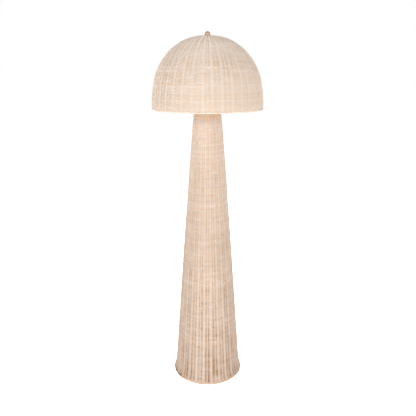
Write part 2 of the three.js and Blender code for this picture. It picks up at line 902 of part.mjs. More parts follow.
const lamp = new THREE.Group();
lamp.name = "rattan_floor_lamp";
lamp.add(...base(), ...column(), ...pipeAndNuts(), ...harp(), ...socket(), ...bulb(), ...shade(), finial());

export default lamp;
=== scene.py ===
"""A rattan floor lamp: woven column and shade, cane-wrapped rims, harp, socket, bulb and ball finial."""

import json
import math
from dataclasses import dataclass

import bmesh
import bpy
import numpy as np
from mathutils import Matrix, Vector


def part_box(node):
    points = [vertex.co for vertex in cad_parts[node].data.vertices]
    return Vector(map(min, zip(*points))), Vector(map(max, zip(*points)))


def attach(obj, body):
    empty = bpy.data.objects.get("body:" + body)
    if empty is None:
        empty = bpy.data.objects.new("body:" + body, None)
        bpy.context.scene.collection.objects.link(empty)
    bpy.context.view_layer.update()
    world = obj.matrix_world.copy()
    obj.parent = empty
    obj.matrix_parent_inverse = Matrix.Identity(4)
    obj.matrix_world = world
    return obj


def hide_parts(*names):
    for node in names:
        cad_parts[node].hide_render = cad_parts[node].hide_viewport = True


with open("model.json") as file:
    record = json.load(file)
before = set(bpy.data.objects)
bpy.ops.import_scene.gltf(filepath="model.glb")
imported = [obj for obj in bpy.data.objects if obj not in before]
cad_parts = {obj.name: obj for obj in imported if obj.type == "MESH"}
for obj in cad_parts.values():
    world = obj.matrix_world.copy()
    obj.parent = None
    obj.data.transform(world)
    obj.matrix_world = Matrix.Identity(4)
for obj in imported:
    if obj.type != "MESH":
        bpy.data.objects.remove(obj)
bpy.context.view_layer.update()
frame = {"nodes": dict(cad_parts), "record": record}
record = frame["record"]
slot_of_node = {part["node"]: part["material_slot"] for part in record["subparts"]}
body_of_node = {node: body for body, nodes in record["behaviour"]["bodies"].items() for node in nodes}
chance = np.random.default_rng(20)

# Sizes are millimetres, as in the part's source, and meshes are made in metres
MM = 0.001
clearance = 0.3

# Corners that are closer than this many metres are merged
same_place = 1e-6

# Edges that bend more than this many degrees stay sharp
edge_crease = 35
cane_crease = 70
rim_crease = 60

# Column: a taper with a slight belly, a flare at the foot, a rounded shoulder and, at the neck, a band
# of painted warm light, as the shade throws warm light on the canes
column_height = 1212
column_foot = 14.3
foot_radius = 151
shoulder_radius = 58.9
belly = 1.8
flare_height = 62
flare_depth = 12
shoulder_height = 58
shoulder_depth = 13
neck_band = 34

# Shade: its outline from the rim to the crown is given as shares of its radius and its height
shade_radius = 230
shade_bottom = 1215
shade_height = 288
shade_outline_shares = [
    (1.0, 0.02),
    (1.0, 0.13),
    (0.977, 0.294),
    (0.931, 0.473),
    (0.84, 0.632),
    (0.722, 0.761),
    (0.587, 0.861),
    (0.4, 0.95),
    (0.19, 0.998),
    (0.085, 0.991),
]

# Stakes of the woven walls: a double stake is a pair of canes, which stand apart where the wall is
# wide, by its radius, with a third cane between them. Depths are under the outline
wall_thickness = 9
double_cane = 3.0
double_depth = 4.4
pair_spread = (0, 60, 110, 150), (0, 1.6, 2.6, 3.0)
third_cane_radius = 112
single_cane = 2.4
single_depth = 5.2

# Rows of reed: a row lies flat a little past a stake's canes, at most for a share of the way to the
# next stake, and has most of its full bend where the flat ends
row_pitch = 2.72
row_margin = 1
flat_past_double = 1.2
flat_past_single = 0.8
most_flat = 0.3
most_flat_narrow = 0.2
narrow_radius = 60
flat_bend = 0.94

# Rows lie a little unevenly, waver along the wall, thin here and there and differ in thickness
row_jitter = 0.04
row_waver = 0.05
row_thinning = 0.04
reed_shares = (0.97, 1.04)

# Patches of darker painted shade in the grooves: places round the wall, and what of a patch goes on
# in the next row
patch_places = 36
patch_kept = 0.65
patch_new = 0.76
darkest_patch = 2.5

# Tones of the reed, from 0, pale, to 1, tan: the middle, what a patch adds and how rows differ
middle_tone = 0.4
patch_tone = 0.35
row_tone = 0.05

# Pushes of the weaving on the stakes: radians, waves round the wall, and height for each radian
pushes = ((0.009, 9, 310), (0.006, 17, -190), (0.004, 23, 130))

# The column's painted groove shade by height: how narrow, how dark, and extra just above the floor
groove_narrowness = (150, 300), (0.8, 1.4)
groove_darkness = (150, 300, 900), (1, 0.65, 0.4)
foot_darkening = (15, 50), (0.15, 0)

# A cane has six sides. One of them, or the corner between two, points up along the wall
flat_up = 0
corner_up = math.pi / 6

# Flat cane round a rim: how full one turn is from groove to groove, and the painted shade in the groove
turn_fullness = (0.9, 0.985, 1.0, 0.985)
turn_groove = 0.6
rim_sides = 12

# Frame wires
ring_steps = 144
rod_count = 6
rod_radius = 2.5
hoop_tube = 3
rib_count = 8
rib_radius = 2
shade_hoop_tube = 2.5

# Harp
harp_wire = 1.9
harp_leg_spread = 35
harp_cup_radius = 3.6
harp_cup_height = 15

# Tube and threads
tube_bore = 3.5
tube_hole = 5.3
lamp_thread_pitch = 3.6


# Outlines


def column_radius(height):
    share = height / column_height
    flare = flare_depth * np.maximum(0, 1 - height / flare_height) ** 2
    rise = np.clip((height - column_height + shoulder_height) / shoulder_height, 0, 1)
    rounding = shoulder_depth * (1 - np.sqrt(1 - rise**2))
    taper = foot_radius + (shoulder_radius - foot_radius) * share
    return taper + belly * np.sin(math.pi * share) + flare - rounding


def shade_outline_points(count):
    """The smooth curve through the shade's outline, as radius and height."""
    given = np.array([(r * shade_radius, shade_bottom + h * shade_height) for r, h in shade_outline_shares])
    last = len(given) - 2
    points = []
    for t in np.linspace(0, len(given) - 1, count):
        i = min(int(t), last)
        a, b, c, d = given[max(i - 1, 0)], given[i], given[i + 1], given[min(i + 2, last + 1)]
        start, end = (c - a) / 2, (d - b) / 2
        f = t - i
        cubic = (2 * b - 2 * c + start + end) * f**3
        square = (-3 * b + 3 * c - 2 * start - end) * f**2
        points.append(cubic + square + start * f + b)
    return np.array(points)


class Outline:
    """A wall's outer line, read at a length along it: radius, height and the outward direction."""

    def __init__(self, points):
        self.points = np.asarray(points, float)
        steps = np.hypot(*np.diff(self.points, axis=0).T)
        self.lengths = np.concatenate([[0], np.cumsum(steps)])
        self.length = self.lengths[-1]
        along = np.gradient(self.points, self.lengths, axis=0)
        along /= np.hypot(*along.T)[:, None]
        self.outward = np.column_stack([along[:, 1], -along[:, 0]])

    def read(self, pairs, length):
        return [np.interp(length, self.lengths, values) for values in pairs.T]

    def at(self, length, depth=0):
        """Radius and height at a length along the line, at a depth under it."""
        radius, height = self.read(self.points, length)
        out, up = self.read(self.outward, length)
        return radius - depth * out, height - depth * up

    def slope(self, length):
        """How far the outward direction points up, as an angle."""
        out, up = self.read(self.outward, length)
        return math.atan2(up, out)

    def length_at_height(self, height):
        return float(np.interp(height, self.points[:, 1], self.lengths))

    def length_at_radius(self, radius):
        return float(np.interp(-radius, -self.points[:, 0], self.lengths))


@dataclass
class Wall:
    """A woven wall: its canes, how long a length of reed lasts, in rounds, and how its tones change.
    The last three pair heights with values: how much the tones differ, how much darker they are as
    painted shade that evens out the lamps' light, and how strong the patches are."""

    node: str
    outline: Outline
    doubles: int
    reed: float
    cane_turn: float
    lasting: tuple
    tone_spread: tuple
    height_shading: tuple
    patchiness: tuple


column_heights = np.linspace(column_foot, column_height, 500)
column = Wall(
    node="column_skin",
    outline=Outline(np.column_stack([column_radius(column_heights), column_heights])),
    doubles=26,
    reed=3.4,
    cane_turn=flat_up,
    lasting=(0.2, 2.6),
    tone_spread=((0,), (0.2,)),
    height_shading=((60, 120, 250, 400, 550, 1000, 1100), (0.1, 0.22, 0.14, 0.3, 0.25, 0.15, 0)),
    patchiness=((0,), (0.25,)),
)
shade = Wall(
    node="shade_skin",
    outline=Outline(shade_outline_points(700)),
    doubles=36,
    reed=2.94,
    cane_turn=corner_up,
    lasting=(1, 4.5),
    tone_spread=((1300, 1340, 1400), (0.34, 0.2, 0.1)),
    height_shading=((1222, 1270, 1300, 1350, 1400, 1450, 1480), (0.6, 0.4, 0.35, 0.42, 0.15, 0.03, 0.15)),
    patchiness=((1300, 1370, 1420, 1460), (0.12, 0.5, 0.5, 0.25)),
)


# Making meshes


def smoothed(mesh, crease=edge_crease):
    mesh.polygons.foreach_set("use_smooth", np.ones(len(mesh.polygons), bool))
    mesh.set_sharp_from_angle(angle=math.radians(crease))
    return mesh


def finished_mesh(shape, crease=edge_crease):
    mesh = bpy.data.meshes.new("shape")
    shape.to_mesh(mesh)
    shape.free()
    return smoothed(mesh, crease)


def write_attribute(mesh, name, values):
    mesh.attributes.new(name, "FLOAT", "POINT").data.foreach_set("value", np.asarray(values, np.float32))


def strands(paths, radii, closed=False, turns=None, **marks):
    """A mesh of round canes or wires along paths of millimetre points, with marks given point by point."""
    curve = bpy.data.curves.new("strands", "CURVE")
    curve.dimensions = "3D"
    curve.bevel_depth = 1
    curve.bevel_resolution = 1
    for path, radius, turn in zip(paths, radii, turns or [flat_up] * len(paths)):
        spline = curve.splines.new("POLY")
        spline.points.add(len(path) - 1)
        rows = np.column_stack([np.asarray(path) * MM, np.ones(len(path))])
        spline.points.foreach_set("co", rows.ravel())
        spline.points.foreach_set("radius", np.broadcast_to(radius, len(path)) * MM)
        spline.points.foreach_set("tilt", np.full(len(path), turn))
        spline.use_cyclic_u = closed
    holder = bpy.data.objects.new("strands", curve)
    bpy.context.scene.collection.objects.link(holder)
    mesh = bpy.data.meshes.new_from_object(holder.evaluated_get(bpy.context.evaluated_depsgraph_get()))
    bpy.data.objects.remove(holder)
    bpy.data.curves.remove(curve)
    sides = len(mesh.vertices) // sum(len(path) for path in paths)
    for name, values in marks.items():
        write_attribute(mesh, name, np.repeat(np.concatenate(values), sides))
    if not closed:
        shape = bmesh.new()
        shape.from_mesh(mesh)
        bmesh.ops.holes_fill(shape, edges=shape.edges, sides=sides)
        shape.to_mesh(mesh)
        shape.free()
    return smoothed(mesh, cane_crease)


def spin_round(shape, section, steps):
    """Spins a section once round the lamp's axis and turns the faces outwards."""
    axis, centre = (0, 0, 1), (0, 0, 0)
    bmesh.ops.spin(shape, geom=section, axis=axis, cent=centre, angle=math.tau, steps=steps, use_merge=True)
    bmesh.ops.remove_doubles(shape, verts=shape.verts, dist=same_place)
    bmesh.ops.recalc_face_normals(shape, faces=shape.faces)


def turned(section, steps=72, crease=edge_crease, closed=False):
    """A body turned from a section of radius and height, which ends on the axis or is closed."""
    shape = bmesh.new()
    corners = [shape.verts.new((r * MM, 0, z * MM)) for r, z in section]
    edges = [shape.edges.new(pair) for pair in zip(corners, corners[1:])]
    if closed:
        edges.append(shape.edges.new((corners[-1], corners[0])))
    spin_round(shape, corners + edges, steps)
    return finished_mesh(shape, crease)


def eased(section, size, closed=False):
    """Rounds the corners of a section that lie off the axis. Each edge stays straight in its middle."""
    result = []
    points = [Vector(p) for p in section]
    for i, corner in enumerate(points):
        at_end = not closed and i in (0, len(points) - 1)
        if at_end or corner.x == 0:
            result.append(tuple(corner))
            continue
        before, after = points[i - 1], points[(i + 1) % len(points)]
        room = min((before - corner).length, (after - corner).length) / 2.2
        reach = min(size, room)
        start = corner + (before - corner).normalized() * reach
        end = corner + (after - corner).normalized() * reach
        for t in (0, 0.5, 1):
            result.append(tuple((1 - t) ** 2 * start + 2 * t * (1 - t) * corner + t**2 * end))
    return result


def curved(handles, steps=16):
    """Points of a cubic curve with four given handles, without its last point."""
    a, b, c, d = np.array(handles)
    points = []
    for t in np.arange(steps) / steps:
        points.append((1 - t) ** 3 * a + 3 * t * (1 - t) ** 2 * b + 3 * t**2 * (1 - t) * c + t**3 * d)
    return points


def turned_ring(section, ease, steps=72):
    """A body turned from a closed section whose corners are rounded."""
    return turned(eased(section, ease, closed=True), steps, closed=True)


def sleeve(inner, outer, bottom, top, ease=0.3, steps=72):
    """A plain ring of rectangular section with rounded edges."""
    return turned_ring([(inner, bottom), (outer, bottom), (outer, top), (inner, top)], ease, steps)


def bevelled(node, width, angle=edge_crease):
    """A copy of a node's solid with its sharp edges rounded."""
    shape = bmesh.new()
    shape.from_mesh(frame["nodes"][node].data)
    bmesh.ops.remove_doubles(shape, verts=shape.verts, dist=same_place)
    flat = math.radians(1)
    bmesh.ops.dissolve_limit(shape, angle_limit=flat, verts=shape.verts, edges=shape.edges)
    sharp = [e for e in shape.edges if e.is_manifold and e.calc_face_angle() > math.radians(angle)]
    rounding = {"affect": "EDGES", "segments": 2, "profile": 0.5, "material": -1}
    bmesh.ops.bevel(shape, geom=sharp, offset=width * MM, clamp_overlap=True, **rounding)
    return finished_mesh(shape)


def bored(mesh, radius, start, end):
    """Cuts a round hole through a mesh, from one point to another."""
    tool = strands([np.array([start, end])], [radius])
    holders = [bpy.data.objects.new("bored", m) for m in (mesh, tool)]
    for holder in holders:
        bpy.context.scene.collection.objects.link(holder)
    body, cutter = holders
    cut = body.modifiers.new("hole", "BOOLEAN")
    cut.operation = "DIFFERENCE"
    cut.solver = "EXACT"
    cut.object = cutter
    result = bpy.data.meshes.new_from_object(body.evaluated_get(bpy.context.evaluated_depsgraph_get()))
    for holder in holders:
        bpy.data.objects.remove(holder)
    return smoothed(result)


def moved(mesh, place):
    mesh.transform(Matrix.Translation(Vector(place) * MM))
    return mesh


def middle(node):
    """The middle of a node's box, in millimetres."""
    low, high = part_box(node)
    return [(a + b) / 2 / MM for a, b in zip(low, high)]


def round_extent(node):
    """Radius, bottom and top of a node that is round about an upright axis, in millimetres."""
    low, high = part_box(node)
    return (high.y - low.y) / 2 / MM, low.z / MM, high.z / MM


def ring_line(node, tube):
    """Radius and height of the middle line of a node that is a ring of round tube."""
    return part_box(node)[1].x / MM - tube, middle(node)[2]


# Finishes


class Number:
    """A shader value. Sums and products of it add the Math nodes that work them out."""

    def __init__(self, nodes, socket):
        self.nodes = nodes
        self.socket = socket

    def math(self, operation, *others):
        inputs = dict(enumerate((self, *others)))
        return self.nodes.node("ShaderNodeMath", {"operation": operation}, inputs)

    def __add__(self, other):
        return self.math("ADD", other)

    def __mul__(self, other):
        return self.math("MULTIPLY", other)

    __radd__ = __add__
    __rmul__ = __mul__


class Nodes:
    """The nodes of a material or of the world, and the one way in which they are added."""

    def __init__(self, tree):
        self.tree = tree

    def put(self, socket, value):
        if isinstance(value, Number):
            self.tree.links.new(value.socket, socket)
        else:
            socket.default_value = value

    def node(self, kind, settings=None, sockets=None, output=0):
        """Adds a node and gives one of its outputs, by its name or number."""
        made = self.tree.nodes.new(kind)
        for key, value in (settings or {}).items():
            setattr(made, key, value)
        for key, value in (sockets or {}).items():
            self.put(made.inputs[key], value)
        return Number(self, made.outputs[output])

    def attribute(self, name):
        return self.node("ShaderNodeAttribute", {"attribute_name": name}, output="Fac")

    def place(self, stretch=(1, 1, 1)):
        """Object coordinates, stretched."""
        here = self.node("ShaderNodeTexCoord", output="Object")
        return self.node("ShaderNodeMapping", None, {"Vector": here, "Scale": stretch})

    def noise(self, scale, stretch=(1, 1, 1), detail=3, roughness=0.55):
        sockets = {"Vector": self.place(stretch), "Scale": scale, "Detail": detail, "Roughness": roughness}
        return self.node("ShaderNodeTexNoise", None, sockets)

    def ramp(self, value, low, high, start=0.0, end=1.0):
        """A value that goes from start to end as the input goes from low to high."""
        sockets = {"Value": value, "From Min": low, "From Max": high, "To Min": start, "To Max": end}
        return self.node("ShaderNodeMapRange", {"clamp": True}, sockets)

    def mix(self, share, first, second):
        """Mixes two colours. The node's sockets have numbers, because their names repeat."""
        colours = [c if isinstance(c, Number) else (*c, 1) for c in (first, second)]
        sockets = {0: share, 6: colours[0], 7: colours[1]}
        return self.node("ShaderNodeMix", {"data_type": "RGBA"}, sockets, output=2)

    def background_seen(self):
        """1 where the background is seen, also in metal or through glass, and 0 where it lights."""
        kinds = ("Is Camera Ray", "Is Glossy Ray", "Is Transmission Ray")
        straight, mirrored, through = (self.node("ShaderNodeLightPath", output=kind) for kind in kinds)
        return straight.math("MAXIMUM", mirrored).math("MAXIMUM", through)


class Finish(Nodes):
    """A material, which has the Principled shader."""

    def __init__(self, name):
        self.material = bpy.data.materials.new(name)
        self.material.use_nodes = True
        super().__init__(self.material.node_tree)
        self.shader = self.tree.nodes["Principled BSDF"]

    def bump(self, height, strength, distance=0.0004):
        sockets = {"Strength": strength, "Distance": distance, "Height": height}
        self.put(self.shader.inputs["Normal"], self.node("ShaderNodeBump", None, sockets))

    def set(self, **values):
        for socket, value in values.items():
            self.put(self.shader.inputs[socket.replace("_", " ")], value)
        return self.material


reddish_skin = (0.79, 0.56, 0.35)


def cane_finish(name, pale, tan, brown, groove_shade=0.5, upright=False, gloss=0.0, reddish=0.0):
    """Natural cane: each strand has its own tone, with fibres along it, patches and a few dark nodes.
    Short stretches may have kept a reddish skin. Painted shade darkens the grooves of the weave, in
    patches."""
    finish = Finish(name)
    along, across = (1, 0.03) if upright else (0.05, 1)
    fibre = finish.noise(900, (along, along, across), detail=4)
    patch = finish.noise(9, (1, 1, 0.6), detail=4, roughness=0.7)
    fleck = finish.noise(160, (along, along, across), detail=2)
    share = finish.ramp(finish.attribute("tone") * 0.75 + fibre * 0.35 + patch * 0.5, 0.35, 1.15)
    colour = finish.mix(share, pale, tan)
    if reddish:
        skin = finish.noise(180, (0.3, 0.3, 1), detail=2)
        colour = finish.mix(finish.ramp(skin, 0.42, 0.62, 0, reddish), colour, reddish_skin)
    # Painted shade: the grooves of the weave are mixed towards brown, more in some patches
    shade_strength = finish.ramp(finish.noise(26, (1, 1, 0.4), detail=2), 0.35, 0.65, 0.4, 1)
    colour = finish.mix(finish.attribute("groove") * shade_strength * groove_shade, colour, brown)
    colour = finish.mix(finish.ramp(fleck, 0.66, 0.78, 0, 0.4), colour, brown)
    finish.bump(fibre + fleck * 0.5, 0.35)
    return finish.set(
        Base_Color=colour,
        Roughness=finish.ramp(fibre, 0.3, 0.7, 0.5, 0.72),
        Specular_IOR_Level=0.4,
        Coat_Weight=gloss,
        Coat_Roughness=0.35,
    )


def metal_finish(name, colour, dark, rough, stains=0.5, thread_pitch=0.0):
    """Metal with a worn, uneven skin, and with the ridges of a thread where it has one."""
    finish = Finish(name)
    patch = finish.noise(60, detail=5, roughness=0.65)
    fine = finish.noise(400, (1, 1, 0.15), detail=2)
    share = finish.ramp(patch, 0.42, 0.68, 0, stains)
    relief = fine + patch * 0.4
    strength = 0.12
    if thread_pitch:
        height = finish.node("ShaderNodeSeparateXYZ", None, {"Vector": finish.place()}, output="Z")
        relief = relief * 0.2 + (height * (math.tau / (thread_pitch * MM))).math("SINE")
        strength = 0.8
    finish.bump(relief, strength, 0.0002)
    return finish.set(
        Base_Color=finish.mix(share, colour, dark),
        Metallic=1.0,
        Roughness=finish.ramp(patch, 0.3, 0.7, rough, rough + 0.18),
    )


def coated_finish(name, colour, dark, rough, metallic=0.0, grain=220, strength=0.25, coat=0.0):
    """Paint, plastic, rubber, card or iron: an even colour with fine mottling and a light texture."""
    finish = Finish(name)
    patch = finish.noise(25, detail=4)
    fine = finish.noise(grain, detail=3, roughness=0.7)
    share = finish.ramp(patch * 0.6 + fine * 0.4, 0.35, 0.7, 0, 0.7)
    finish.bump(fine, strength, 0.0003)
    return finish.set(
        Base_Color=finish.mix(share, colour, dark),
        Metallic=metallic,
        Roughness=finish.ramp(fine, 0.3, 0.7, rough - 0.06, rough + 0.08),
        Coat_Weight=coat,
    )


def glass_finish():
    """The bulb's white glass, which lets some light through."""
    finish = Finish("frosted_glass")
    fine = finish.noise(700, detail=2)
    finish.bump(fine, 0.08, 0.0001)
    return finish.set(
        Base_Color=(0.93, 0.91, 0.86, 1),
        Roughness=finish.ramp(fine, 0.3, 0.7, 0.28, 0.42),
        Transmission_Weight=0.35,
        Coat_Weight=0.4,
        Coat_Roughness=0.15,
    )


# Cane colours are pale, tan and brown, the brown for dark nodes and the painted shade in the grooves.
# The others are the colour and its darker patches
weave_finish = cane_finish(
    "shade_cane", (0.87, 0.81, 0.77), (0.73, 0.64, 0.565), (0.50, 0.31, 0.17), groove_shade=0.6, reddish=0.54
)
column_finish = cane_finish(
    "column_cane", (0.845, 0.765, 0.705), (0.675, 0.565, 0.485), (0.36, 0.18, 0.085), groove_shade=1.0, reddish=0.66
)
# Painted warm light: the neck's canes are brighter and warmer, as in the shade's warm light
neck_warm_light_finish = cane_finish("neck_painted_warm_light", (0.93, 0.73, 0.54), (0.86, 0.62, 0.42), (0.40, 0.24, 0.16), groove_shade=1.0)
stake_finish = cane_finish(
    "stake_cane", (0.87, 0.77, 0.68), (0.74, 0.59, 0.46), (0.40, 0.26, 0.17), upright=True
)
rim_finish = cane_finish(
    "rim_cane", (0.74, 0.59, 0.46), (0.55, 0.38, 0.26), (0.22, 0.12, 0.07), groove_shade=0.8, gloss=0.2
)
wrap_finish = cane_finish(
    "wrapping_cane", (0.86, 0.76, 0.66), (0.66, 0.47, 0.31), (0.28, 0.16, 0.09), gloss=0.2
)
zinc, dull_zinc = (0.62, 0.61, 0.59), (0.38, 0.37, 0.36)
thread_finish = metal_finish("threaded_steel", zinc, dull_zinc, rough=0.3, thread_pitch=1)
finish_of_slot = {
    "woven_rattan": weave_finish,
    "rattan_wrapping": wrap_finish,
    "antique_brass": metal_finish(
        "antique_brass", (0.49, 0.37, 0.27), (0.24, 0.16, 0.10), rough=0.34, stains=0.7
    ),
    "contact_brass": metal_finish("contact_brass", (0.72, 0.52, 0.26), (0.45, 0.30, 0.14), rough=0.25),
    "zinc_steel": metal_finish("zinc_steel", zinc, dull_zinc, rough=0.3),
    "painted_steel": coated_finish("cream_paint", (0.78, 0.70, 0.58), (0.66, 0.57, 0.45), 0.45, coat=0.2),
    "cast_iron": coated_finish(
        "cast_iron", (0.05, 0.05, 0.052), (0.02, 0.02, 0.02), 0.75, metallic=0.5, grain=320, strength=0.8
    ),
    "rubber": coated_finish("rubber", (0.10, 0.085, 0.07), (0.05, 0.04, 0.035), 0.8),
    "dark_phenolic": coated_finish(
        "dark_phenolic", (0.035, 0.022, 0.015), (0.015, 0.01, 0.008), 0.38, coat=0.2
    ),
    "card_liner": coated_finish("card_liner", (0.62, 0.52, 0.36), (0.48, 0.38, 0.25), 0.85, grain=500),
    "frosted_glass": glass_finish(),
}

# The solids of the frame take the finish of their slot too
for node, solid in frame["nodes"].items():
    solid.data.materials.clear()
    solid.data.materials.append(finish_of_slot[slot_of_node[node]])


def piece(name, mesh, node, finish=None):
    """Puts a mesh in the scene in place of a node. It rides on the node's body and takes the finish of
    its slot, unless another finish is given.
    """
    mesh.name = name
    mesh.materials.clear()
    mesh.materials.append(finish or finish_of_slot[slot_of_node[node]])
    made = bpy.data.objects.new(name, mesh)
    bpy.context.scene.collection.objects.link(made)
    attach(made, body_of_node[node])
    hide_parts(node)


# Woven walls


@dataclass
class Row:
    """One round of reed. Its groove, patch and tone have a value for each point of its path: how deep
    in the weave it lies, for the painted shade in the grooves, how much darker that shade is there,
    and its tone from pale to tan."""

    path: np.ndarray
    radius: float
    turn: float
    groove: np.ndarray
    patch: np.ndarray
    tone: np.ndarray = None

    @property
    def height(self):
        return self.path[:, 2]


def round_path(radius, height, azimuth):
    return np.column_stack([radius * np.cos(azimuth), radius * np.sin(azimuth), height])


def from_front(count):
    """Azimuths that go once round the lamp from the front."""
    return np.arange(count) / count * math.tau - math.pi / 2


def sway(azimuth, height):
    """How far the stakes have been pushed round the wall by the weaving, in radians."""
    return sum(size * np.sin(waves * azimuth + height / rise) for size, waves, rise in pushes)


def double_spread(radius):
    """How far the canes of a double stake stand from its middle."""
    return np.interp(radius, *pair_spread)


def course(wall, span, steps):
    """Points of a row, once round the wall from the front: the azimuth of the nearest double stake
    that the row bends round, the side of it, and the share of the way from it to the next stake."""
    number = np.arange(2 * wall.doubles * steps // span) - steps // span
    wave, step = np.divmod(number + steps, 2 * steps)
    nearest = wave * 2 * (span * math.pi / wall.doubles) + math.pi / wall.doubles - math.pi / 2
    return nearest, np.where(step < steps, -1, 1), np.abs(step - steps) / steps


def weave_rows(wall, start, end, span, steps):
    """Rows of reed that pass in front of one stake and behind the next, each row the other way round.
    A row lies flat over a stake and runs straight to the next one. A wave spans a number of double
    stakes, with so many steps to each half of it. Where it spans one, a single stake stands between
    them. In patches the painted shade in the grooves is darker, as where rows lie looser."""
    singles = span == 1
    other_cane, other_depth = (single_cane, single_depth) if singles else (double_cane, double_depth)
    count = round((end - start) / row_pitch)
    half = span * math.pi / wall.doubles
    nearest, side, from_double = course(wall, span, steps)
    places = np.arange(patch_places + 1) / patch_places * math.tau
    darkness = chance.normal(0, 1, patch_places)
    rows = []
    for k in range(count):
        length = start + (k + 0.5) * (end - start) / count + chance.uniform(-row_jitter, row_jitter)
        wide, height = wall.outline.at(length)
        most = most_flat if wide > narrow_radius else most_flat_narrow
        flat = min((double_spread(wide) + flat_past_double) / (half * wide), most)
        other_flat = min(flat_past_single / (half * wide), most_flat_narrow) if singles else flat
        knots = 0, flat, 1 - other_flat, 1
        share = np.interp(from_double, (0, 1 / steps, 1 - 1 / steps, 1), knots)
        bend = np.interp(share, knots, (1, flat_bend, -flat_bend, -1))
        azimuth = nearest + side * share * half
        azimuth += sway(azimuth, height)
        depth = (double_depth + other_depth) / 2 + (double_depth - other_depth) / 2 * bend
        reach = np.where(bend > 0, double_cane + wall.reed, other_cane + wall.reed) / 2
        waver = row_waver * np.sin(azimuth * chance.integers(2, 6) + chance.uniform(0, math.tau))
        thin = 1 - row_thinning * (1 + np.sin(azimuth * 5 + chance.uniform(0, math.tau)))
        radius, height = wall.outline.at(length + waver, depth - reach * bend * thin * (-1) ** k)
        path = round_path(radius, height, azimuth)
        thickness = wall.reed / 2 * chance.uniform(*reed_shares)
        darkness = patch_kept * darkness + chance.normal(0, patch_new, patch_places)
        patch = np.interp(azimuth % math.tau, places, np.append(darkness, darkness[0]))
        patch *= np.interp(height, *wall.patchiness)
        groove = (1 - np.abs(bend)) * np.clip(1 + patch, 0, darkest_patch)
        rows.append(Row(path, thickness, wall.cane_turn - wall.outline.slope(length), groove, patch))
    return rows


def tone_rows(wall, rows):
    """Gives the rows their tones. Each length of reed lasts for a few rounds, or less than one."""
    joints = np.cumsum(chance.uniform(*wall.lasting, len(rows)))
    tones = chance.normal(0, 1, len(rows) + 1)
    for k, row in enumerate(rows):
        rounds = k + np.arange(len(row.path)) / len(row.path)
        spread = np.interp(row.height, *wall.tone_spread)
        tone = np.clip(middle_tone + tones[np.searchsorted(joints, rounds)] * spread, 0, 1)
        tone += patch_tone * row.patch
        tone += chance.normal(0, row_tone)
        # Painted shade: darker tones at some heights, to even out the lamps' light
        row.tone = tone + np.interp(row.height, *wall.height_shading)


def woven_bands(wall, rows, name, bands, finish):
    """Tones the rows and puts them in the scene as a few bands."""
    tone_rows(wall, rows)
    size = math.ceil(len(rows) / bands)
    for i in range(bands):
        band = rows[i * size : (i + 1) * size]
        mesh = strands(
            [row.path for row in band],
            [row.radius for row in band],
            closed=True,
            turns=[row.turn for row in band],
            tone=[row.tone for row in band],
            groove=[row.groove for row in band],
        )
        piece(f"{name}_{i + 1}", mesh, wall.node, finish)


def stake(wall, start, end, azimuth, side, depth, cane, count=60):
    """Path and radius of a stake that runs up the wall, in the middle or on one side of a pair."""
    radius, height = wall.outline.at(np.linspace(start, end, count), depth)
    aside = side * double_spread(radius) / radius
    return round_path(radius, height, azimuth + aside + sway(azimuth, height)), cane / 2


def woven_stakes(wall, name, start, single_end, dropped_end, double_end):
    """Puts all stakes of a wall in the scene. The single ones stop first, then every second double
    one, then the others."""
    third_end = wall.outline.length_at_radius(third_cane_radius)
    made = []
    for i, azimuth in enumerate(from_front(2 * wall.doubles)):
        if i % 2 == 0:
            made.append(stake(wall, start, single_end, azimuth, 0, single_depth, single_cane))
            continue
        end = double_end if i % 4 == 1 else dropped_end
        for side in (-1, 1):
            made.append(stake(wall, start, end, azimuth, side, double_depth, double_cane))
        made.append(stake(wall, start, third_end, azimuth, 0, double_depth, double_cane, 40))
    paths, radii = zip(*made)
    tones = np.clip(chance.normal(0.3, 0.2, len(made)), 0, 1)
    mesh = strands(paths, radii, tone=[np.full(len(path), tone) for path, tone in zip(paths, tones)])
    piece(name, mesh, wall.node, stake_finish)


def groove_shade_by_height(groove, height):
    """Painted shade in the grooves: wide and dark at the foot, faint higher up, darker just above the
    floor.
    """
    narrow = groove ** np.interp(height, *groove_narrowness)
    return narrow * np.interp(height, *groove_darkness) + np.interp(height, *foot_darkening)


def woven_column():
    """The column's weave, with painted warm light on the canes at its neck."""
    foot = column.outline.length_at_height(column_foot + row_margin)
    top = column.outline.length
    rows = weave_rows(column, foot, top - row_margin, span=1, steps=4)
    for row in rows:
        row.groove = groove_shade_by_height(row.groove, row.height)
    below = [row for row in rows if row.height[0] < column_height - neck_band]
    woven_bands(column, below, "column_weave", 6, column_finish)
    woven_bands(column, rows[len(below) :], "column_neck_painted_warm_light", 1, neck_warm_light_finish)
    woven_stakes(column, "column_stakes", 0, top, top, top)


def woven_shade():
    """The shade's weave. Rows go over all the stakes up to the crown, then over the double ones, then
    over every second double one. A zone has its inner radius, and a wave's span and steps."""
    zones = [(92, 1, 4), (46, 2, 6), (21.5, 4, 8)]
    stake_end_radii = (88, 42, 20.5)
    row_rise, stake_rise = 6.7, 7
    # How strong the painted shade in the grooves is, by height
    darkness = (1220, 1300, 1400, 1440), (0.25, 0.38, 0.52, 0.1)
    start = shade.outline.length_at_height(shade_bottom + row_rise)
    rows = []
    for inner_radius, span, steps in zones:
        end = shade.outline.length_at_radius(inner_radius)
        rows += weave_rows(shade, start, end, span, steps)
        start = end
    for row in rows:
        row.groove = row.groove * np.interp(row.height, *darkness)
    woven_bands(shade, rows, "shade_weave", 4, weave_finish)
    foot = shade.outline.length_at_height(shade_bottom + stake_rise)
    ends = [shade.outline.length_at_radius(radius) for radius in stake_end_radii]
    woven_stakes(shade, "shade_stakes", foot, *ends)


def end_shade(angle):
    """How dark painted shade is at an angle round a rim: strong at the left end, weaker at the right."""
    left, right, right_strength = 0.68, 0.7, 0.3
    across = math.cos(angle)
    return max(0, -left - across, right_strength * (across - right))


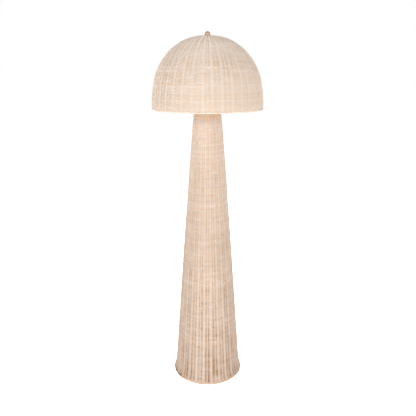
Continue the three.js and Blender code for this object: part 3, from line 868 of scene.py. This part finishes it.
def wrapped_rim(node, tube, strip, tone, shade_strength=0.0, finish=None):
    """A rim bound with strips of flat cane: a ring with a groove between the turns, which lean a
    little. Painted shade darkens the grooves, and may darken its ends."""
    centre, height = ring_line(node, tube)
    turns = round(math.tau * centre / strip)
    rings = len(turn_fullness)
    shape = bmesh.new()
    bmesh.ops.create_circle(shape, segments=rim_sides, radius=tube * MM, cap_ends=False)
    bmesh.ops.rotate(shape, verts=shape.verts, matrix=Matrix.Rotation(math.pi / 2, 3, "X"), cent=(0, 0, 0))
    bmesh.ops.translate(shape, verts=shape.verts, vec=(centre * MM, 0, height * MM))
    spin_round(shape, shape.verts[:] + shape.edges[:], turns * rings)
    tone_of_turn = np.clip(chance.normal(tone, 0.2, turns), 0, 1)
    tones, grooves = [], []
    for corner in shape.verts:
        angle = math.atan2(corner.co.y, corner.co.x) % math.tau
        turn, ring = divmod(round(angle / math.tau * turns * rings), rings)
        full = turn_fullness[ring]
        out = math.hypot(corner.co.x, corner.co.y) / MM - centre
        up = corner.co.z / MM - height
        lean = angle + up / tube * math.pi / turns
        radius = centre + out * full
        corner.co = Vector((radius * math.cos(lean), radius * math.sin(lean), height + up * full)) * MM
        tones.append(tone_of_turn[turn % turns])
        # Painted shade in the groove between turns and at the rim's ends
        grooves.append(max(turn_groove if ring == 0 else 0, shade_strength * end_shade(angle)))
    mesh = finished_mesh(shape, rim_crease)
    write_attribute(mesh, "tone", tones)
    write_attribute(mesh, "groove", grooves)
    piece(f"{node}_binding", mesh, node, finish)


woven_column()
woven_shade()
# The base rim has painted shade at its left end, and a little at its right one
wrapped_rim("base_rim", tube=5.9, strip=5.2, tone=0.6, shade_strength=12, finish=rim_finish)
wrapped_rim("column_top_rim", tube=3.4, strip=4.2, tone=0.45)
wrapped_rim("shade_rim", tube=3.0, strip=4.6, tone=0.2)
wrapped_rim("shade_apex_ring", tube=3.0, strip=3.4, tone=0.45)


# Base and tube


def foot_pads():
    """Rubber feet with a shallow recess underneath."""
    recess, ease = 4, 1
    for i in range(1, 5):
        node = f"foot_pad_{i}"
        radius, bottom, top = round_extent(node)
        section = [
            (0, bottom + ease),
            (recess, bottom + ease),
            (recess + ease, bottom),
            (radius - ease, bottom),
            (radius, bottom + ease),
            (radius - ease, top),
            (0, top),
        ]
        x, y = middle(node)[:2]
        piece(f"{node}_moulded", moved(turned(eased(section, 0.8), 48), (x, y, 0)), node)


def base_pieces():
    """The pressed plate, and the iron weight with a hub and a sloping edge."""
    radius, bottom, top = round_extent("base_plate")
    piece("base_plate_pressed", sleeve(tube_hole, radius, bottom, top, 0.8, 128), "base_plate")
    radius, bottom, top = round_extent("base_weight")
    hub, step, slope = 16, 3, 9
    section = [
        (tube_hole, bottom),
        (radius, bottom),
        (radius, top - 2 * step),
        (radius - slope, top - step),
        (2 * hub, top - step),
        (hub, top),
        (tube_hole, top),
    ]
    piece("base_weight_cast", turned_ring(section, 1.5, 96), "base_weight")


def column_cap():
    radius, bottom, top = round_extent("column_cap")
    piece("column_cap_pressed", sleeve(tube_hole, radius, bottom, top, 0.6, 96), "column_cap")


def tube_pieces():
    """The threaded tube with its nuts and washers."""
    radius, bottom, top = round_extent("threaded_tube")
    tube = sleeve(tube_bore, radius, bottom, top, 0.4, 32)
    piece("threaded_tube_cut", tube, "threaded_tube", thread_finish)
    for node in ("base_nut_lower", "base_nut_upper", "column_nut"):
        piece(f"{node}_milled", bevelled(node, 0.5), node)
    for node in ("base_washer", "column_washer"):
        radius, bottom, top = round_extent(node)
        piece(f"{node}_stamped", sleeve(tube_hole, radius, bottom, top, 0.4), node)


def turned_neck():
    """The brass piece between the column and the harp: a foot, a waist and a lip."""
    waist, lip = 7.5, 9
    radius, bottom, top = round_extent("turned_neck")
    third = (top - bottom) / 3
    section = [
        (tube_hole, bottom),
        (radius, bottom),
        (radius, bottom + third / 2),
        (waist, bottom + third),
        (waist, top - third),
        (lip, top),
        (tube_hole, top),
    ]
    piece("turned_neck_brass", turned_ring(section, 1.2, 64), "turned_neck")


def cable_bush():
    """The rubber bush at the back, square to the sloping wall, with a flange on either side of it.
    The inner flange has room for the wall's curve."""
    height, bore, reach, flange, lip, ease, sink = 82, 4.5, 6.7, 10, 2.2, 1, 1.6
    radius = column_radius(height)
    drop = column_radius(height + reach) - column_radius(height - reach)
    inside = sink - wall_thickness - clearance - flange**2 / radius
    section = [
        (bore, inside - lip),
        (flange - ease, inside - lip),
        (flange - ease, inside),
        (reach, inside),
        (reach, clearance),
        (flange, clearance),
        (flange, clearance + lip / 2),
        (flange - ease, clearance + lip),
        (bore, clearance + lip),
    ]
    mesh = turned_ring(section, 0.7, 48)
    slope = math.atan(drop / (2 * reach))
    mesh.transform(Matrix.Rotation(-math.pi / 2 - slope, 4, "X"))
    piece("cable_bush_moulded", moved(mesh, (0, radius - sink, height)), "cable_bush")


foot_pads()
base_pieces()
column_cap()
tube_pieces()
turned_neck()
cable_bush()


# Wire frames


def wire_ring(node, tube):
    centre, height = ring_line(node, tube)
    path = round_path(centre, np.full(ring_steps, height), from_front(ring_steps))
    piece(f"{node}_wire", strands([path], [tube], closed=True), node)


def wires_round(name, count, radius, height, wire):
    """Wires that follow one line of radius and height, evenly spaced round the lamp."""
    for i in range(count):
        path = round_path(radius, height, math.tau * i / count)
        piece(f"{name}_{i + 1}_wire", strands([path], [wire]), f"{name}_{i + 1}")


def hoops():
    """The hoops of the column's frame and of the shade's."""
    for i in range(1, 5):
        wire_ring(f"frame_hoop_{i}", hoop_tube)
    for i in range(1, 3):
        wire_ring(f"shade_hoop_{i}", shade_hoop_tube)


def column_rods():
    """The rods stand against the inside of the wall."""
    heights = np.linspace(column_foot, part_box("frame_rod_1")[1].z / MM, 120)
    inset = wall_thickness + clearance + rod_radius
    wires_round("frame_rod", rod_count, column_radius(heights) - inset, heights, rod_radius)


def shade_ribs():
    """The ribs follow the inside of the dome and turn in to the hub at the crown."""
    foot_rise, crown_radius, hub_gap, bend = 7.3, 62, 9, 7
    hub_radius, hub = round_extent("shade_hub")[0], middle("shade_hub")[2]
    foot = shade.outline.length_at_height(shade_bottom + foot_rise)
    crown = shade.outline.length_at_radius(crown_radius)
    inset = wall_thickness + clearance + rib_radius
    line = np.column_stack(shade.outline.at(np.linspace(foot, crown, 60), inset)).tolist()
    line += [(hub_radius + hub_gap, hub), (hub_radius + clearance, hub)]
    radius, height = np.array(eased(line, bend)).T
    wires_round("shade_rib", rib_count, radius, height, rib_radius)


hoops()
column_rods()
shade_ribs()


# Harp and finial


def harp_line():
    """The harp's wire, from the foot of its right leg over the crown to the left one's."""
    leg, bow, flat, straight, sink = harp_leg_spread, 57, 12, 34, 0.5
    low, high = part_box("harp_bow")
    leg_bottom, crown = low.z / MM + harp_cup_height, high.z / MM - harp_wire
    leg_top = leg_bottom + straight
    half = (crown - leg_top) / 2
    waist = leg_top + half
    swell = [(leg, leg_top), (leg, leg_top + half / 2), (bow, waist - half / 2), (bow, waist)]
    closing = [(bow, waist), (bow, waist + 2 * half / 3), ((bow + flat) / 2, crown), (flat, crown)]
    right = np.array([(leg, leg_bottom - sink), *curved(swell), *curved(closing), (flat, crown)])
    line = np.vstack([right, right[::-1] * (-1, 1)])
    return np.column_stack([line[:, 0], np.zeros(len(line)), line[:, 1]])


def harp_cup():
    """The cup at the foot of a leg, which sits over a prong of the saddle."""
    bore, neck, dome, roof = 3.0, 2.2, 0.8, 1.4
    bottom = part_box("harp_bow")[0].z / MM
    top = bottom + harp_cup_height
    section = [
        (bore, bottom),
        (harp_cup_radius, bottom),
        (harp_cup_radius, top),
        (neck, top + dome),
        (0, top + dome),
        (0, top - roof),
        (bore, top - roof),
    ]
    return turned(eased(section, 0.25), 40, closed=True)


def harp_ferrule(node):
    """A sleeve with a lip at either end, which slides on a cup."""
    lip, lip_foot, lip_rise = 1.6, 2.2, 0.4
    radius, bottom, top = round_extent(node)
    end = [(harp_cup_radius + clearance, 0), (radius, 0), (radius, lip), (radius - lip_rise, lip_foot)]
    section = [(r, bottom + z) for r, z in end] + [(r, top - z) for r, z in reversed(end)]
    return turned_ring(section, 0.3, 40)


def harp_pieces():
    piece("harp_saddle_stamped", bevelled("harp_saddle", 0.4), "harp_saddle")
    piece("harp_bow_wire", strands([harp_line()], [harp_wire]), "harp_bow")
    for side, name in ((-1, "left"), (1, "right")):
        place = (side * harp_leg_spread, 0, 0)
        ferrule = f"harp_ferrule_{name}"
        piece(f"harp_foot_{name}", moved(harp_cup(), place), "harp_bow")
        piece(f"{ferrule}_turned", moved(harp_ferrule(ferrule), place), ferrule)
    piece("harp_stud_turned", bevelled("harp_stud", 0.3), "harp_stud")


def ball_finial():
    """A ball on a neck and a flange, with a blind bore for the harp's stud."""
    ball, neck, flange, bore, bore_depth = 11.6, 5.2, 8, 3.4, 9.5
    edge, slope, flange_top, neck_foot = 1.5, 0.8, 2.4, 3.8
    bottom, top = round_extent("finial")[1:]
    centre = top - ball
    stem = [
        (0, bottom + bore_depth),
        (bore, bottom + bore_depth),
        (bore, bottom),
        (flange, bottom),
        (flange, bottom + edge),
        (flange - slope, bottom + flange_top),
        (neck, bottom + neck_foot),
    ]
    angles = np.linspace(math.asin(neck / ball), math.pi, 30)[:-1]
    globe = [(ball * math.sin(a), centre - ball * math.cos(a)) for a in angles]
    piece("finial_turned", turned(eased(stem, 0.3) + globe + [(0, top)], crease=50), "finial")


def shade_hub():
    hub_bore = 5.6
    radius, bottom, top = round_extent("shade_hub")
    piece("shade_hub_stamped", sleeve(hub_bore, radius, bottom, top, 0.5), "shade_hub")


harp_pieces()
ball_finial()
shade_hub()


# Socket and bulb


def thread_line(radius, bottom, top, depth):
    """The wavy side of a rolled thread, from bottom to top."""
    turn_steps = 6
    steps = turn_steps * round((top - bottom) / lamp_thread_pitch)
    heights = np.linspace(bottom, top, steps + 1)
    waves = 0.5 - 0.5 * np.cos(math.tau * (heights - bottom) / lamp_thread_pitch)
    return list(zip(radius - depth * waves, heights))


def socket_cap():
    """The spun cap: a neck round the tube, a shoulder and an upright wall."""
    neck, neck_top, shoulder, wall, lip = 8.5, 9.5, 2, 1.8, 0.8
    radius, bottom, top = round_extent("socket_cap")
    height = top - bottom
    section = [
        (tube_hole, bottom),
        (neck, bottom),
        (neck_top, bottom + height / 4),
        (radius - shoulder, bottom + height / 2),
        (radius, bottom + height * 0.8),
        (radius, top),
        (radius - lip, top),
        (radius - wall, bottom + height * 0.8),
        (radius - shoulder - wall, bottom + height / 2 + lip),
        (tube_hole, bottom + height / 3),
    ]
    piece("socket_cap_spun", turned_ring(section, 1.2), "socket_cap")


def with_stem_hole(mesh):
    """Bores the hole for the switch's stem in the front of a socket piece."""
    radius, reach = 2.2, 22
    height = middle("switch_stem")[2]
    return bored(mesh, radius, (0, 0, height), (0, -reach, height))


def socket_shell():
    """The spun shell, with a rim at the bottom, a bead under the top and a thinner lip."""
    wall, recess, lip_wall, lip = 0.8, 0.3, 0.5, 0.4
    rim, bead_bottom, bead_top, slope = 1.4, 4.4, 2.8, 0.6
    radius, bottom, top = round_extent("socket_shell")
    section = [
        (radius - wall, bottom),
        (radius, bottom),
        (radius, bottom + rim),
        (radius - recess, bottom + rim + slope),
        (radius - recess, top - bead_bottom - slope),
        (radius, top - bead_bottom),
        (radius, top - bead_top),
        (radius - recess, top - bead_top + slope),
        (radius - recess, top - lip),
        (radius - lip_wall, top),
        (radius - wall, top),
    ]
    piece("socket_shell_spun", with_stem_hole(turned_ring(section, 0.3)), "socket_shell")


def socket_inside():
    """The card liner, the moulded core, the screw shell and the contact at its bottom."""
    liner_wall, shell_wall, thread_depth, contact_edge = 0.7, 0.5, 0.15, 0.8
    radius, bottom, top = round_extent("socket_liner")
    liner = sleeve(radius - liner_wall, radius, bottom, top, 0.1)
    piece("socket_liner_rolled", with_stem_hole(liner), "socket_liner")
    piece("socket_core_moulded", bevelled("socket_core", 0.5), "socket_core")
    outer = thread_line(*round_extent("screw_shell"), thread_depth)
    inner = [(r - shell_wall, z) for r, z in reversed(outer)]
    piece("screw_shell_rolled", turned(outer + inner, crease=60, closed=True), "screw_shell")
    radius, bottom, top = round_extent("centre_contact")
    section = [(0, bottom), (radius, bottom), (radius, bottom + contact_edge), (radius / 2, top), (0, top)]
    piece("centre_contact_pressed", turned(eased(section, 0.3), 48), "centre_contact")


def switch_pieces():
    low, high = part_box("switch_stem")
    height, radius = middle("switch_stem")[2], (high.z - low.z) / 2 / MM
    ends = np.array([(0, high.y / MM, height), (0, low.y / MM, height)])
    piece("switch_stem_turned", strands([ends], [radius]), "switch_stem")
    piece("switch_knob_moulded", bevelled("switch_knob", 0.25, 30), "switch_knob")


def bulb_cap():
    """The contact at the tip, an insulating shoulder and the rolled thread."""
    tip, tip_edge, tip_height, shoulder = 5, 0.8, 2.6, 1.5
    ease, thread_start, thread_depth = 1, 3.4, 0.5
    radius, bottom, top = round_extent("bulb_cap")
    lip = bottom + tip_height
    section = [(0, bottom), (tip - ease, bottom), (tip, bottom + tip_edge), (tip, lip)]
    section.append((radius - shoulder, lip + shoulder))
    section += thread_line(radius, lip + thread_start, top - ease, thread_depth)
    section += [(radius, top), (0, top)]
    piece("bulb_cap_rolled", turned(section, crease=50), "bulb_cap")


def bulb_glass():
    """The neck, which widens to the round head."""
    neck, neck_rise, foot, ease = 14.5, 5, 13.2, 0.7
    radius, bottom, top = round_extent("bulb_glass")
    neck_top, centre = bottom + neck_rise, top - radius
    half = (centre - neck_top) / 2
    swell = [(neck, neck_top), (neck, neck_top + half), (radius, centre - half), (radius, centre)]
    section = [(0, bottom), (foot, bottom), (foot + ease, bottom + 0.6), *curved(swell)]
    for turn in np.linspace(0, math.pi / 2, 15)[:-1]:
        section.append((radius * math.cos(turn), centre + radius * math.sin(turn)))
    piece("bulb_glass_blown", turned(section + [(0, top)], crease=60), "bulb_glass")


socket_cap()
socket_shell()
socket_inside()
switch_pieces()
bulb_cap()
bulb_glass()


# Floor, light and camera

# Each softbox has its place and the height that it aims at, in metres, and its power in watts
softboxes = {
    "front_softbox": ((-0.3, -3.7, 1.8), 1.0, 33.5),
    "left_softbox": ((-2.6, -2.2, 1.2), 0.8, 68),
    "right_softbox": ((2.5, -2.2, 1.2), 0.8, 63),
    "back_softbox": ((0.3, 3.2, 1.8), 0.9, 38),
}
softbox_size = 2.0
sky_light = 0.39
floor_size = 12
floor_lit = (0.8, 0.79, 0.78)
floor_seen = (3.2, 3.2, 3.2)

# The camera's place is in metres, its tilt in degrees
camera_place = (0.002, -2.073, 1.381)
camera_tilt = 15.93
camera_lens = 42.6
camera_sensor = 36


def white_floor():
    """A plain floor, which is seen so bright that it is white in the lamps' light."""
    shape = bmesh.new()
    bmesh.ops.create_grid(shape, x_segments=1, y_segments=1, size=floor_size)
    mesh = bpy.data.meshes.new("floor")
    shape.to_mesh(mesh)
    shape.free()
    floor = bpy.data.objects.new("floor", mesh)
    bpy.context.scene.collection.objects.link(floor)
    finish = Finish("floor_white")
    colour = finish.mix(finish.background_seen(), floor_lit, floor_seen)
    mesh.materials.append(finish.set(Base_Color=colour, Roughness=1.0, Specular_IOR_Level=0.0))


def white_world():
    """An even white sky: full white where it is seen, and dimmer as a light."""
    world = bpy.data.worlds.new("studio")
    bpy.context.scene.world = world
    world.use_nodes = True
    sky = Nodes(world.node_tree)
    background = world.node_tree.nodes["Background"]
    sky.put(background.inputs["Color"], (1, 1, 1, 1))
    sky.put(background.inputs["Strength"], sky.ramp(sky.background_seen(), 0, 1, sky_light, 1))


def softbox(name, place, aim, power):
    light = bpy.data.lights.new(name, "AREA")
    light.shape = "SQUARE"
    light.size = softbox_size
    light.energy = power
    holder = bpy.data.objects.new(name, light)
    bpy.context.scene.collection.objects.link(holder)
    holder.location = place
    holder.rotation_euler = (Vector((0, 0, aim)) - Vector(place)).to_track_quat("-Z", "Y").to_euler()


def photo_camera():
    camera = bpy.data.cameras.new("camera")
    camera.lens = camera_lens
    camera.sensor_width = camera_sensor
    viewer = bpy.data.objects.new("camera", camera)
    bpy.context.scene.collection.objects.link(viewer)
    viewer.location = camera_place
    viewer.rotation_euler = (math.radians(90 - camera_tilt), 0, 0)
    bpy.context.scene.camera = viewer


white_floor()
white_world()
for name, values in softboxes.items():
    softbox(name, *values)
photo_camera()
bpy.context.scene.view_settings.view_transform = "Standard"
